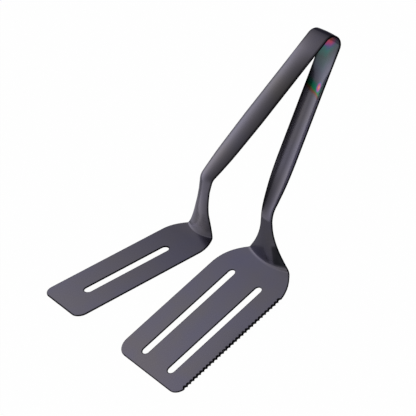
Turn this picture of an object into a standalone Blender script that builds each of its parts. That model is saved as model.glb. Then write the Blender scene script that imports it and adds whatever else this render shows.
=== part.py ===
"""Steak tongs folded from one strip of spring steel.

A wide slotted blade with one serrated edge and a narrow slotted blade face each other. Each blade
folds up into a neck, the neck widens into a channel-shaped arm, and the two arms meet in a flat
round bow that springs them open. Lengths are in metres, X runs from the bow to the blade tips, Y
across the blades and Z up. The origin is the middle of the wide blade's underside, which the
tongs rest on.
"""
import math

import bmesh
import bpy
from mathutils import Matrix, Vector

NAME = "steak_tongs"

# Sheet and strip
SHEET = 0.0010
STRIP_HALF = 0.0099
CHANNEL_DEPTH = 0.0031
FLEX_GAP = 0.0003
FOLD_RUN = 0.0015
WELD_REACH = 0.00001

# Wide blade
WIDE_LENGTH = 0.1196
WIDE_HALF = 0.0377
WIDE_SHOULDER = 0.0275
WIDE_FOLD_HALF = 0.0229
WIDE_FOLD_BULGE = 0.0039
WIDE_PLAIN_CORNER = 0.0110
WIDE_TOOTHED_CORNER = 0.0090
WIDE_SLOT_SPACING = 0.0310

# Narrow blade
NARROW_LENGTH = 0.1160
NARROW_HALF = 0.0213
NARROW_SHOULDER = 0.0180
NARROW_FOLD_HALF = 0.0128
NARROW_FOLD_BULGE = 0.0026
NARROW_CORNER = 0.0070
NARROW_PITCH_DEG = 17.1

# Slots, from the fold to their start and from their end to the tip
SLOT_WIDTH = 0.0065
WIDE_SLOT_START = 0.0216
WIDE_SLOT_TO_TIP = 0.0096
NARROW_SLOT_START = 0.0286
NARROW_SLOT_TO_TIP = 0.0198

# Serration of the wide blade's edge
TOOTH_START = 0.0201
TOOTH_PITCH = 0.00309
TOOTH_DEPTH = 0.0010
TEETH_TO_TIP = 0.0065

# The strip from the wide blade's fold, over the bow, to the narrow blade's fold
WIDE_FOLD_HEADING_DEG = 107.1
WIDE_NECK = 0.0317
WIDE_NECK_TURN_DEG = 9.7
WIDE_BEND_RADIUS = 0.0293
WIDE_BEND_TURN_DEG = 25.6
WIDE_ARM = 0.1178
BOW_RADIUS = 0.0077
BOW_TURN_DEG = 155.9
NARROW_ARM = 0.1200
NARROW_BEND_RADIUS = 0.0070
NARROW_BEND_TURN_DEG = 37.5
NARROW_NECK = 0.0040
NARROW_CURL_RADIUS = 0.1200
NARROW_CURL_TURN_DEG = 15.4

# Necks and channels
WIDE_WAIST_HALF = 0.00615
WIDE_WAIST = 0.0323
WIDE_SWELL = 0.0450
NARROW_WAIST_HALF = 0.0060
NARROW_WAIST = 0.0294
NARROW_SWELL = 0.0600
CHANNEL_RAMP = 0.0300
CHANNEL_FLANK_POWER = 2.0
HINGE_RUN = 0.0050

# Shares of a length or of a size, in place and value pairs
RIM_SHARE = 0.19
WIDE_SHOULDER_POWER = 2.4
NARROW_SHOULDER_POWER = 2.0
FLARE_SHARES = ((0.0, 0.0), (0.22, 0.06), (0.43, 0.21), (0.66, 0.47), (0.80, 0.68), (0.90, 0.84), (1.0, 1.0))
WIDE_SWELL_SHARES = ((0.0, 0.0), (0.17, 0.11), (0.38, 0.47), (0.60, 0.79), (0.80, 0.94), (1.0, 1.0))
NARROW_SWELL_SHARES = ((0.0, 0.0), (0.11, 0.18), (0.30, 0.52), (0.50, 0.77), (0.80, 0.92), (1.0, 1.0))
WIDE_HOLLOW_SHARES = ((0.0, 0.0), (0.16, 0.47), (0.45, 0.80), (0.80, 0.97), (1.0, 1.0))
NARROW_HOLLOW_SHARES = ((0.0, 0.62), (0.25, 0.80), (0.60, 0.95), (1.0, 1.0))

# Steps of the curved surfaces
COLUMNS = 14
FOLD_STEPS = 4
NECK_STEP = 0.0016
ARM_STEP = 0.0080
BOW_STEPS = 24
SHOULDER_STEPS = 12
CORNER_STEPS = 8
SLOT_STEPS = 8
TOOTH_STEPS = 6

STEEL_RGB = (0.105, 0.098, 0.118)
STEEL_ROUGHNESS = 0.36
SHARP_DEG = 35.0


def between(shares, place):
    """Read a table of shares at a place, on a smooth curve through its points."""
    place = min(shares[-1][0], max(shares[0][0], place))
    index = next(number for number in range(1, len(shares)) if place <= shares[number][0])
    low, start = shares[index - 1]
    high, end = shares[index]
    before = shares[max(index - 2, 0)]
    after = shares[min(index + 1, len(shares) - 1)]
    start_slope = (end - before[1]) / (high - before[0])
    end_slope = (after[1] - start) / (after[0] - low)
    span = high - low
    step = (place - low) / span
    level = ease(step)
    start_part = step * (1.0 - step) ** 2 * span * start_slope
    end_part = step ** 2 * (step - 1.0) * span * end_slope
    return start + (end - start) * level + start_part + end_part


def ease(place):
    """A ramp from 0 to 1 that starts and ends level."""
    place = min(1.0, max(0.0, place))
    return place * place * (3.0 - 2.0 * place)


def travel(start, runs, distance):
    """Point and heading after a distance along straight and round runs."""
    x, z, heading = start
    for length, turn in runs:
        step = min(distance, length)
        angle = turn * step / length
        chord = step * math.sin(angle / 2.0) / (angle / 2.0) if angle else step
        x += chord * math.cos(heading + angle / 2.0)
        z += chord * math.sin(heading + angle / 2.0)
        heading += angle
        distance -= step
        if distance <= 0.0:
            break
    return x, z, heading


def strip_runs():
    """Length and turn of each run of the strip, from one fold to the other."""
    bend = math.radians(WIDE_BEND_TURN_DEG)
    bow = math.radians(BOW_TURN_DEG)
    kink = math.radians(NARROW_BEND_TURN_DEG)
    curl = math.radians(NARROW_CURL_TURN_DEG)
    return (
        (WIDE_NECK, math.radians(WIDE_NECK_TURN_DEG)),
        (WIDE_BEND_RADIUS * bend, bend),
        (WIDE_ARM, 0.0),
        (BOW_RADIUS * bow, -bow),
        (NARROW_ARM, 0.0),
        (NARROW_BEND_RADIUS * kink, -kink),
        (NARROW_NECK, 0.0),
        (NARROW_CURL_RADIUS * curl, -curl),
    )


RUNS = strip_runs()
STRIP_START = (-WIDE_LENGTH / 2.0, SHEET / 2.0, math.radians(WIDE_FOLD_HEADING_DEG))
STRIP_LENGTH = sum(length for length, turn in RUNS)
WIDE_TANGENT = sum(length for length, turn in RUNS[:3])
NARROW_TANGENT = sum(length for length, turn in RUNS[:4])
WIDE_HINGE = WIDE_TANGENT - HINGE_RUN
NARROW_HINGE = NARROW_TANGENT + HINGE_RUN


def strip_point(distance):
    return travel(STRIP_START, RUNS, distance)


def from_wide_fold(rise):
    return rise


def from_narrow_fold(rise):
    return STRIP_LENGTH - rise


def pivot_at(distance):
    x, z, heading = strip_point(distance)
    return Vector((x, 0.0, z))


def wide_size(rise):
    """Half width and channel depth of the wide side, a distance up from its fold."""
    if rise < WIDE_WAIST:
        flare = between(FLARE_SHARES, 1.0 - rise / WIDE_WAIST)
        half = WIDE_WAIST_HALF + (WIDE_FOLD_HALF - WIDE_WAIST_HALF) * flare
        return half, -WIDE_FOLD_BULGE * flare
    swell = (rise - WIDE_WAIST) / WIDE_SWELL
    half = WIDE_WAIST_HALF + (STRIP_HALF - WIDE_WAIST_HALF) * between(WIDE_SWELL_SHARES, swell)
    depth = CHANNEL_DEPTH * between(WIDE_HOLLOW_SHARES, swell)
    return half, depth * ease((WIDE_TANGENT - rise) / CHANNEL_RAMP)


def narrow_size(rise):
    """Half width and channel depth of the narrow side, a distance up from its fold."""
    if rise < NARROW_WAIST:
        flare = between(FLARE_SHARES, 1.0 - rise / NARROW_WAIST)
        half = NARROW_WAIST_HALF + (NARROW_FOLD_HALF - NARROW_WAIST_HALF) * flare
        waist_depth = CHANNEL_DEPTH * NARROW_HOLLOW_SHARES[0][1]
        return half, waist_depth + (NARROW_FOLD_BULGE - waist_depth) * flare
    swell = (rise - NARROW_WAIST) / NARROW_SWELL
    half = NARROW_WAIST_HALF + (STRIP_HALF - NARROW_WAIST_HALF) * between(NARROW_SWELL_SHARES, swell)
    depth = CHANNEL_DEPTH * between(NARROW_HOLLOW_SHARES, swell)
    reach = STRIP_LENGTH - rise - NARROW_TANGENT
    return half, depth * ease(reach / CHANNEL_RAMP)


def across(half, depth, drop):
    """Offsets of one cross-section: place across the strip and rise towards its outer side."""
    offsets = []
    for column in range(COLUMNS + 1):
        place = 2.0 * column / COLUMNS - 1.0
        crown = 1.0 - abs(place) ** CHANNEL_FLANK_POWER
        offsets.append((half * place, depth * crown - drop))
    return offsets


def section(distance, size, rise, forward=None, turned=0.0):
    """World points of the strip's cross-section a distance along it.

    The half width is measured to the sheet's outside, so a steep flank brings the mid-surface in.
    Near a fold the section turns from square to the strip towards the blade's forward direction.
    """
    x, z, heading = strip_point(distance)
    half, depth = size(rise)
    half -= SHEET / 2.0 * math.sin(math.atan(CHANNEL_FLANK_POWER * abs(depth) / half))
    outward = Vector((-math.sin(heading), 0.0, math.cos(heading)))
    if forward is not None:
        side = 1.0 if outward.dot(forward) > 0.0 else -1.0
        outward = outward.lerp(forward * side, turned).normalized()
    middle = Vector((x, 0.0, z))
    drop = RIM_SHARE * max(depth, 0.0) * (1.0 - turned)
    return [middle + Vector((0.0, y, 0.0)) + outward * lift for y, lift in across(half, depth, drop)]


def rises(end, neck_end):
    """Distances up from a fold at which the strip has a cross-section."""
    places = [FOLD_RUN]
    while places[-1] < end:
        fine = places[-1] < neck_end or end - places[-1] < CHANNEL_RAMP
        places.append(places[-1] + (NECK_STEP if fine else ARM_STEP))
    places[-1] = end
    if places[-1] - places[-2] < FOLD_RUN:
        del places[-2]
    return places


def blade_half(blade, forward):
    """Half width of a blade, a distance forward from its fold."""
    left = max(0.0, 1.0 - forward / blade["shoulder"])
    return blade["fold_half"] + (blade["full_half"] - blade["fold_half"]) * (1.0 - left ** blade["power"])


def fold_rows(lower, corner, upper):
    """Rows of a round fold between a row on the blade and a row on the neck."""
    rows = []
    for step in range(FOLD_STEPS + 1):
        turn = step / FOLD_STEPS
        row = []
        for low, middle, high in zip(lower, corner, upper):
            row.append((1.0 - turn) ** 2 * low + 2.0 * turn * (1.0 - turn) * middle + turn ** 2 * high)
        rows.append(row)
    return rows


def arc_points(centre, radius, start_deg, end_deg, steps):
    """Points of an arc in a blade's plane, ends included."""
    points = []
    for step in range(steps + 1):
        angle = math.radians(start_deg + (end_deg - start_deg) * step / steps)
        points.append((centre[0] + radius * math.cos(angle), centre[1] + radius * math.sin(angle)))
    return points


def slot_outline(start, end, middle):
    """Outline of a slot with round ends."""
    radius = SLOT_WIDTH / 2.0
    outline = arc_points((end - radius, middle), radius, -90.0, 90.0, SLOT_STEPS)
    outline += arc_points((start + radius, middle), radius, 90.0, 270.0, SLOT_STEPS)
    return outline


def teeth_outline(blade):
    """Points of the serrated edge: round scallops that meet in sharp teeth."""
    half_chord = TOOTH_PITCH / 2.0
    radius = (half_chord ** 2 + TOOTH_DEPTH ** 2) / (2.0 * TOOTH_DEPTH)
    teeth = int((blade["length"] - TEETH_TO_TIP - TOOTH_START) / TOOTH_PITCH)
    corner = blade["far_corner"]
    corner_start = blade["length"] - corner
    points = []
    for step in range(teeth * TOOTH_STEPS + 1):
        off_middle = half_chord * (2.0 * (step % TOOTH_STEPS) / TOOTH_STEPS - 1.0)
        bite = math.sqrt(radius ** 2 - off_middle ** 2) - (radius - TOOTH_DEPTH)
        along = TOOTH_START + TOOTH_PITCH * step / TOOTH_STEPS
        round_off = corner - math.sqrt(corner ** 2 - max(0.0, along - corner_start) ** 2)
        points.append((along, blade_half(blade, along) - bite - round_off))
    return points


def flat_blade(name, outline, holes):
    """Fill a flat outline with its holes, as an open surface in the blade's own plane."""
    curve = bpy.data.curves.new(name + "_outline", "CURVE")
    curve.dimensions = "2D"
    curve.fill_mode = "BOTH"
    for points in [outline] + holes:
        spline = curve.splines.new("POLY")
        spline.points.add(len(points) - 1)
        for point, (x, y) in zip(spline.points, points):
            point.co = (x, y, 0.0, 1.0)
        spline.use_cyclic_u = True
    flat = bpy.data.objects.new(name + "_outline", curve)
    bpy.context.scene.collection.objects.link(flat)
    bpy.context.view_layer.update()
    evaluated = flat.evaluated_get(bpy.context.evaluated_depsgraph_get())
    mesh = bpy.data.meshes.new_from_object(evaluated)
    bpy.data.objects.remove(flat)
    bpy.data.curves.remove(curve)
    return mesh


def add_grid(shell, rows):
    """Join rows of points with four-sided faces."""
    vertices = [[shell.verts.new(point) for point in row] for row in rows]
    for lower, upper in zip(vertices, vertices[1:]):
        for column in range(len(lower) - 1):
            shell.faces.new((lower[column], lower[column + 1], upper[column + 1], upper[column]))


def sheet_object(name, shell, pivot, collection, material):
    """Turn an open surface into a sheet-metal object whose origin is on its joint's axis."""
    bmesh.ops.remove_doubles(shell, verts=shell.verts, dist=WELD_REACH)
    bmesh.ops.recalc_face_normals(shell, faces=shell.faces)
    bmesh.ops.translate(shell, verts=shell.verts, vec=-pivot)
    surface = bpy.data.meshes.new(name + "_surface")
    shell.to_mesh(surface)
    shell.free()
    sheet = bpy.data.objects.new(name, surface)
    sheet.location = pivot
    collection.objects.link(sheet)
    thickness = sheet.modifiers.new("sheet_thickness", "SOLIDIFY")
    thickness.thickness = SHEET
    thickness.offset = 0.0
    thickness.use_even_offset = True
    thickness.use_quality_normals = True
    bpy.context.view_layer.update()
    evaluated = sheet.evaluated_get(bpy.context.evaluated_depsgraph_get())
    mesh = bpy.data.meshes.new_from_object(evaluated)
    mesh.name = name
    mesh.materials.clear()
    mesh.materials.append(material)
    mesh.shade_smooth()
    mesh.set_sharp_from_angle(angle=math.radians(SHARP_DEG))
    sheet.modifiers.clear()
    sheet.data = mesh
    bpy.data.meshes.remove(surface)
    return sheet


def steel(name):
    material = bpy.data.materials.new(name)
    material.use_nodes = True
    shader = material.node_tree.nodes["Principled BSDF"]
    shader.inputs["Base Color"].default_value = (*STEEL_RGB, 1.0)
    shader.inputs["Metallic"].default_value = 1.0
    shader.inputs["Roughness"].default_value = STEEL_ROUGHNESS
    return material


def blade_outline(blade, rear):
    """Outline of a blade: fold, shoulder, edge, tip, plain edge and shoulder again."""
    outline = list(rear)
    first = rear[-1][0]
    length = blade["length"]
    half = blade["full_half"]
    teeth = teeth_outline(blade) if blade["toothed"] else []
    last = TOOTH_START if teeth else blade["shoulder"]
    for step in range(1, SHOULDER_STEPS + 1):
        forward = first + (last - first) * step / SHOULDER_STEPS
        outline.append((forward, blade_half(blade, forward)))
    corner = blade["far_corner"]
    corner_deg = 90.0
    if teeth:
        outline += teeth[1:]
        corner_deg = math.degrees(math.acos(max(0.0, teeth[-1][0] - length + corner) / corner))
    far_corner = arc_points((length - corner, half - corner), corner, corner_deg, 0.0, CORNER_STEPS)
    outline += far_corner[1:] if teeth else far_corner
    corner = blade["plain_corner"]
    outline += arc_points((length - corner, corner - half), corner, 0.0, -90.0, CORNER_STEPS)
    for step in range(SHOULDER_STEPS, 0, -1):
        forward = first + (blade["shoulder"] - first) * step / SHOULDER_STEPS
        outline.append((forward, -blade_half(blade, forward)))
    return outline


def blade_row(blade, forward):
    """Points across a blade, a distance forward from its fold, in the blade's plane."""
    offsets = across(blade_half(blade, forward), blade["fold_bulge"], 0.0)
    return [Vector((forward + lift, y, 0.0)) for y, lift in offsets]


def make_arm(name, size, hinge, to_distance, blade, collection, material):
    """One arm with its neck, its fold and its flat blade, as one sheet."""
    frame = blade["frame"]
    forward = (frame.to_3x3() @ Vector((1.0, 0.0, 0.0))).normalized()
    end = abs(hinge - to_distance(0.0)) - FLEX_GAP / 2.0
    rows = []
    for rise in rises(end, blade["neck_end"]):
        turned = ease(1.0 - (rise - FOLD_RUN) / blade["fold_half"])
        rows.append(section(to_distance(rise), size, rise, forward, turned))
    corner_row, flat_row, rear_row = [blade_row(blade, FOLD_RUN * step) for step in range(3)]
    fold = fold_rows([frame @ point for point in flat_row], [frame @ point for point in corner_row], rows[0])
    shell = bmesh.new()
    add_grid(shell, [[frame @ point for point in rear_row]] + fold[:-1] + rows)
    outline = blade_outline(blade, [(point.x, point.y) for point in rear_row])
    flat = flat_blade(name, outline, blade["slots"])
    flat.transform(frame)
    shell.from_mesh(flat)
    bpy.data.meshes.remove(flat)
    return sheet_object(name, shell, pivot_at(hinge), collection, material)


def make_bow(name, collection, material):
    """The flat round bow between the two flexing lines, as a ribbon along the strip."""
    places = [WIDE_HINGE + FLEX_GAP / 2.0]
    bend = NARROW_TANGENT - WIDE_TANGENT
    places += [WIDE_TANGENT + bend * step / BOW_STEPS for step in range(BOW_STEPS + 1)]
    places.append(NARROW_HINGE - FLEX_GAP / 2.0)
    curve = bpy.data.curves.new(name + "_path", "CURVE")
    curve.dimensions = "2D"
    curve.extrude = STRIP_HALF
    spline = curve.splines.new("POLY")
    spline.points.add(len(places) - 1)
    for point, place in zip(spline.points, places):
        x, z, heading = strip_point(place)
        point.co = (x, z, 0.0, 1.0)
    ribbon = bpy.data.objects.new(name + "_path", curve)
    ribbon.matrix_world = Matrix.Rotation(math.radians(90.0), 4, "X")
    bpy.context.scene.collection.objects.link(ribbon)
    bpy.context.view_layer.update()
    evaluated = ribbon.evaluated_get(bpy.context.evaluated_depsgraph_get())
    mesh = bpy.data.meshes.new_from_object(evaluated)
    mesh.transform(ribbon.matrix_world)
    shell = bmesh.new()
    shell.from_mesh(mesh)
    bpy.data.meshes.remove(mesh)
    bpy.data.objects.remove(ribbon)
    bpy.data.curves.remove(curve)
    return sheet_object(name, shell, pivot_at(WIDE_HINGE), collection, material)


def wide_blade():
    slot_end = WIDE_LENGTH - WIDE_SLOT_TO_TIP
    half_spacing = WIDE_SLOT_SPACING / 2.0
    return {
        "frame": Matrix.Translation((STRIP_START[0], 0.0, STRIP_START[1])),
        "fold_half": WIDE_FOLD_HALF,
        "fold_bulge": WIDE_FOLD_BULGE,
        "full_half": WIDE_HALF,
        "length": WIDE_LENGTH,
        "shoulder": WIDE_SHOULDER,
        "power": WIDE_SHOULDER_POWER,
        "neck_end": WIDE_WAIST + WIDE_SWELL / 2.0,
        "plain_corner": WIDE_PLAIN_CORNER,
        "far_corner": WIDE_TOOTHED_CORNER,
        "toothed": True,
        "slots": [slot_outline(WIDE_SLOT_START, slot_end, side * half_spacing) for side in (-1.0, 1.0)],
    }


def narrow_blade():
    x, z, heading = strip_point(STRIP_LENGTH)
    pitch = Matrix.Rotation(-math.radians(NARROW_PITCH_DEG), 4, "Y")
    return {
        "frame": Matrix.Translation((x, 0.0, z)) @ pitch,
        "fold_half": NARROW_FOLD_HALF,
        "fold_bulge": NARROW_FOLD_BULGE,
        "full_half": NARROW_HALF,
        "length": NARROW_LENGTH,
        "shoulder": NARROW_SHOULDER,
        "power": NARROW_SHOULDER_POWER,
        "neck_end": NARROW_WAIST + NARROW_SWELL / 2.0,
        "plain_corner": NARROW_CORNER,
        "far_corner": NARROW_CORNER,
        "toothed": False,
        "slots": [slot_outline(NARROW_SLOT_START, NARROW_LENGTH - NARROW_SLOT_TO_TIP, 0.0)],
    }


def main():
    for old in list(bpy.data.objects):
        bpy.data.objects.remove(old)
    collection = bpy.data.collections.new(NAME)
    bpy.context.scene.collection.children.link(collection)
    make_arm("wide_arm", wide_size, WIDE_HINGE, from_wide_fold, wide_blade(), collection,
             steel("wide_arm_steel"))
    make_bow("spring_bow", collection, steel("spring_bow_steel"))
    make_arm("narrow_arm", narrow_size, NARROW_HINGE, from_narrow_fold, narrow_blade(), collection,
             steel("narrow_arm_steel"))


main()
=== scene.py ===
"""Steak tongs folded from one strip of coated spring steel, as an add-on that builds them.

The strip is pressed as two halves that meet at the top of the bow: the wide half with the slotted and
serrated blade, and the narrow half with the single-slotted blade. Lengths are in metres.
"""
import math

import bpy
from mathutils import Matrix, Vector


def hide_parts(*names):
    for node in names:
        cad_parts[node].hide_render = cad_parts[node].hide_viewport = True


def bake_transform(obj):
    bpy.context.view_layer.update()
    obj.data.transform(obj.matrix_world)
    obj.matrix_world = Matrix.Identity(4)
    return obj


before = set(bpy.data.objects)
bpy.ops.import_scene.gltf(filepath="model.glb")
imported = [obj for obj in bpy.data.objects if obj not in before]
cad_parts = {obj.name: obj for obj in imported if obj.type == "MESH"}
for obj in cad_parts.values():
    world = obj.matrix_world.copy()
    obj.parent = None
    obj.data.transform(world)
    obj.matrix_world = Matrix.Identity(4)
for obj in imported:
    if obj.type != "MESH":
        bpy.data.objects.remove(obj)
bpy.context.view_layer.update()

bl_info = {
    "name": "Steak tongs",
    "version": (1, 0, 0),
    "blender": (4, 5, 0),
    "location": "3D View > Sidebar > Tongs",
    "description": "Builds one-piece steak tongs with a wide serrated blade and a narrow blade",
    "category": "Add Mesh",
}

# Thickness of the sheet and length of the wide blade, which place the start of the strip
SHEET = 0.0010
WIDE_LENGTH = 0.1196

# The strip's centre line from the wide blade's fold, over the bow, to the narrow blade's fold
WIDE_FOLD_HEADING = math.radians(107.1)
WIDE_NECK_RUN = 0.0317
WIDE_NECK_TURN = math.radians(9.7)
WIDE_BEND_RADIUS = 0.0293
WIDE_BEND_TURN = math.radians(25.6)
WIDE_ARM_RUN = 0.1178
BOW_RADIUS = 0.0077
BOW_TURN = math.radians(155.9)
NARROW_ARM_RUN = 0.1200
NARROW_BEND_RADIUS = 0.0070
NARROW_BEND_TURN = math.radians(37.5)
NARROW_NECK_RUN = 0.0040
NARROW_CURL_RADIUS = 0.1200
NARROW_CURL_TURN = math.radians(15.4)
NARROW_BLADE_PITCH = math.radians(17.1)

# Cross-sections of the strip
STRIP_HALF = 0.0099
CHANNEL_DEPTH = 0.0031
CHANNEL_RAMP = 0.0300
BOW_CROWN = 0.0004
FLANK_POWER = 2.0
RIM_SHARE = 0.19
WIDE_WAIST_HALF = 0.00615
WIDE_WAIST = 0.0323
WIDE_SWELL = 0.0450
NARROW_WAIST_HALF = 0.0060
NARROW_WAIST = 0.0294
NARROW_SWELL = 0.0600
FLARE_SHARES = (
    (0.0, 0.0), (0.22, 0.06), (0.43, 0.21), (0.66, 0.47), (0.80, 0.68), (0.90, 0.84), (1.0, 1.0))
WIDE_SWELL_SHARES = ((0.0, 0.0), (0.17, 0.11), (0.38, 0.47), (0.60, 0.79), (0.80, 0.94), (1.0, 1.0))
NARROW_SWELL_SHARES = ((0.0, 0.0), (0.11, 0.18), (0.30, 0.52), (0.50, 0.77), (0.80, 0.92), (1.0, 1.0))
WIDE_HOLLOW_SHARES = ((0.0, 0.0), (0.16, 0.47), (0.45, 0.80), (0.80, 0.97), (1.0, 1.0))
NARROW_HOLLOW_SHARES = ((0.0, 0.62), (0.25, 0.80), (0.60, 0.95), (1.0, 1.0))

# Fineness of the pressed sheet and of the tools that cut it
COLUMNS = 44
FOLD_STEPS = 12
BLADE_STEP = 0.0030
NECK_STEP = 0.0009
ARM_STEP = 0.0030
BOW_STEP = 0.00035
END_STEP = 0.00005
CORNER_STEPS = 12
EDGE_SEGMENTS = 2
PUNCH_SEGMENTS = 16
WHEEL_VERTICES = 48

# Points closer than this are in one place, and a blade's row closer than the gap to another is left out
SAME_PLACE = 0.00002
ROW_GAP = SAME_PLACE * 5.0

# Length of the cutting tools, in thicknesses of the sheet
PUNCH_LENGTH = 6.0
WHEEL_LENGTH = 16.0

# Angles above which an edge of a cut is rounded, and above which an edge stays sharp in the shading
CORNER_ANGLE = math.radians(40.0)
SHARP_ANGLE = math.radians(35.0)

# Slots of the sheet's materials: outer and inner face, sheared edge, ground teeth, coated rim, crest
OUTER, INNER, EDGE, GROUND, RIM, CREST = range(6)

# Where the outer side of the bow turns away, a distance from the fold
CREST_START = 0.1642

# How fast each soft light fades with the angle from its direction
BACK_LIGHT_FOCUS = 5.88
TOP_LIGHT_FOCUS = 2.47
SIDE_LIGHT_FOCUS = 2.23

# Share of white in the floor as the camera sees it, the rest being its lit and shadowed surface
FLOOR_WHITE = 0.99

# The floor's side, and how far it lies below the tongs
FLOOR_SIZE = 8.0
FLOOR_SINK = 0.0002

# The camera's sensor, in millimetres, and how far it sees
SENSOR_WIDTH = 36.0
VIEW_END = 20.0

# Painted light and shade on the coat along the strip: distance from the fold, negative on the blade, and
# the factor on its colour
STRIP_MAP_START = -0.120
STRIP_MAP_SPAN = 0.296
INNER_PAINTED_SHADING = (
    (-0.118, (1.14, 1.12, 1.11)), (-0.060, (1.01, 1.01, 1.02)), (-0.012, (0.86, 0.86, 0.91)),
    (-0.0014, (0.88, 0.88, 0.91)), (0.0, (1.14, 1.12, 1.08)), (0.0016, (0.95, 0.94, 0.90)),
    (0.030, (1.02, 1.02, 1.04)), (0.045, (0.78, 0.77, 0.76)), (0.070, (1.0, 0.99, 0.96)),
    (0.118, (1.0, 1.0, 0.96)), (0.140, (0.96, 1.02, 1.0)), (0.168, (0.62, 0.62, 0.60)))
OUTER_PAINTED_SHADING = (
    (-0.118, (1.45, 1.45, 1.50)), (-0.060, (1.14, 1.13, 1.15)), (-0.012, (0.80, 0.80, 0.86)),
    (0.004, (0.95, 0.94, 0.93)), (0.030, (1.10, 1.08, 1.00)), (0.070, (1.13, 1.12, 1.03)),
    (0.105, (0.97, 0.96, 0.88)), (0.128, (1.04, 1.03, 0.94)),
    (0.148, (1.06, 1.04, 0.99)), (0.158, (0.68, 0.66, 0.63)), (0.1642, (0.42, 0.41, 0.41)),
    (0.1675, (0.26, 0.26, 0.27)))
RIM_PAINTED_SHADING = ((0.0, (0.90, 0.90, 0.92)), (0.142, (0.70, 0.70, 0.70)), (0.154, (0.08, 0.08, 0.09)))

# What the steel gives back at grazing angles: coated faces, the bow's crest, kept low as painted shade,
# and torn edges
SATIN_GRAZING = (0.88, 0.87, 0.96)
CREST_SHADED_GRAZING = (0.50, 0.50, 0.55)
TORN_GRAZING = (0.10, 0.10, 0.12)

# Roughness of the sheared edges and of the ground teeth
TORN_ROUGHNESS = 0.55
GROUND_ROUGHNESS = 0.40

# Painted shade along the coat's rims, tips and slots: its start, its end below and above the stretch
# where it widens, and its darkest factor
BORDER_START = 0.0003
BORDER_ON_BLADE = 0.0009
BORDER_BY_BOW = 0.0022
BORDER_WIDENS_FROM = -0.010
BORDER_WIDENS_TO = 0.166
BORDER_SHADE = 0.10

# The painted shade on the wide flare: the foot on the fold, lean and upward spread of the lighter middle
# rib, and the dark
# lobes beside it: the slant of their tops and their colour
RIB_FOOT = 0.0078
RIB_LEAN = 0.50
RIB_SPREAD = 0.28
LOBE_SLANT = 0.40
PAINTED_LOBE_SHADE = "#242428"

# The heat film by the bow and the band across the trough: where each starts and ends along the strip
FILM_START = 0.1380
FILM_END = 0.1700
BAND_START = 0.1250
BAND_END = 0.1365

# The drop beside the band: its middle on the strip and its half sizes
DROP_ACROSS = 0.0020
DROP_ALONG = 0.1325
DROP_HALF_WIDTH = 0.0028
DROP_HALF_LENGTH = 0.0044

# Their colours: towards the bow in the film and the band, and from the middle out in the drop
FILM_HUES = (
    (0.00, "#5F5F68"), (0.20, "#56606A"), (0.45, "#4A5656"), (0.62, "#3A625E"), (0.70, "#4A5270"),
    (0.76, "#783F70"), (0.84, "#9C3E54"), (0.92, "#8A4838"), (0.97, "#504038"), (1.00, "#38363A"))
BAND_HUES = (
    (0.05, "#5B5560"), (0.20, "#7A4238"), (0.30, "#5A5A3A"), (0.40, "#1C6E46"), (0.60, "#1E6A58"),
    (0.90, "#4A585A"))
DROP_HUES = (
    (0.10, "#B08050"), (0.32, "#AC5468"), (0.60, "#8A5084"), (0.80, "#4A5A80"), (0.95, "#4E6A70"))


def linear(hex_colour):
    """An sRGB hex colour as a linear RGB triple."""
    channels = [int(hex_colour[place:place + 2], 16) / 255.0 for place in (1, 3, 5)]
    return tuple(c / 12.92 if c <= 0.04045 else ((c + 0.055) / 1.055) ** 2.4 for c in channels)


class TongsSizes(bpy.types.PropertyGroup):
    """Sizes of the tongs that a user would change."""

    sheet: bpy.props.FloatProperty(
        name="Sheet", description="Thickness of the steel sheet", default=SHEET, unit="LENGTH")
    edge_round: bpy.props.FloatProperty(
        name="Edge round", description="Rounding of the sheared edges", default=0.00034, unit="LENGTH")
    slot_width: bpy.props.FloatProperty(
        name="Slot width", description="Width of the drain slots", default=0.0061, unit="LENGTH")
    tooth_pitch: bpy.props.FloatProperty(
        name="Tooth pitch", description="Distance between teeth", default=0.00309, unit="LENGTH")
    tooth_depth: bpy.props.FloatProperty(
        name="Tooth depth", description="Depth of the gaps between teeth", default=0.0013, unit="LENGTH")
    tooth_lean: bpy.props.FloatProperty(
        name="Tooth lean", description="Lean of the teeth's ground walls", default=math.radians(56.0),
        subtype="ANGLE")


class TongsFinish(bpy.types.PropertyGroup):
    """Colours and finish of the steel."""

    coat: bpy.props.FloatVectorProperty(
        name="Coat", description="Colour of the gunmetal coat", subtype="COLOR",
        default=linear("#5A5867"))
    coat_warm: bpy.props.FloatVectorProperty(
        name="Warm coat", description="Brownish side of the coat", subtype="COLOR",
        default=linear("#5D5A61"))
    edge: bpy.props.FloatVectorProperty(
        name="Sheared edge", description="Colour of the sheared edges", subtype="COLOR",
        default=linear("#0F0E12"))
    ground: bpy.props.FloatVectorProperty(
        name="Ground teeth", description="Colour of the ground walls of the teeth", subtype="COLOR",
        default=linear("#232227"))
    roughness: bpy.props.FloatProperty(
        name="Roughness", description="Roughness of the satin coat", default=0.20, min=0.0, max=1.0)


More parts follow.
